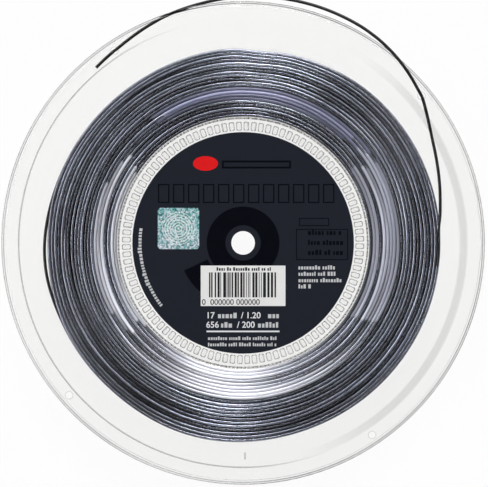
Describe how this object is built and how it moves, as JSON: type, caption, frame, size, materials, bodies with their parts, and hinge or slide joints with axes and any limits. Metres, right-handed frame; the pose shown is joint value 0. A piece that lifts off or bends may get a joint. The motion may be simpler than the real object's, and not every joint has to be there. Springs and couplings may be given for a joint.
{
  "type": "string reel",
  "caption": "Clear plastic two-flange reel wound with dark racket string, its loose end threaded through holes in the front rim, with a round dark label",
  "frame": {"origin": "centre of the plane that the rear rim stands on", "axes": "+Z along the spindle axis, leaving the labelled front; +Y towards the top of the label; +X to its right"},
  "size_m": [0.178, 0.1803, 0.0336],
  "materials": {
    "clear_plastic": "clear, polished",
    "string": "semi-gloss",
    "label": "satin printed film",
    "paper": "matt printed film",
    "foil": "iridescent foil"
  },
  "bodies": {
    "root": {"rear_flange": "clear_plastic", "rear_hub": "clear_plastic", "rear_collar": "clear_plastic", "front_flange": "clear_plastic", "front_hub": "clear_plastic", "front_collar": "clear_plastic", "string_core": "string", "string_outer_turns": "string", "string_loose_end": "string", "label": "label", "wide_sticker": "paper", "square_sticker": "foil"}
  },
  "joints": []
}
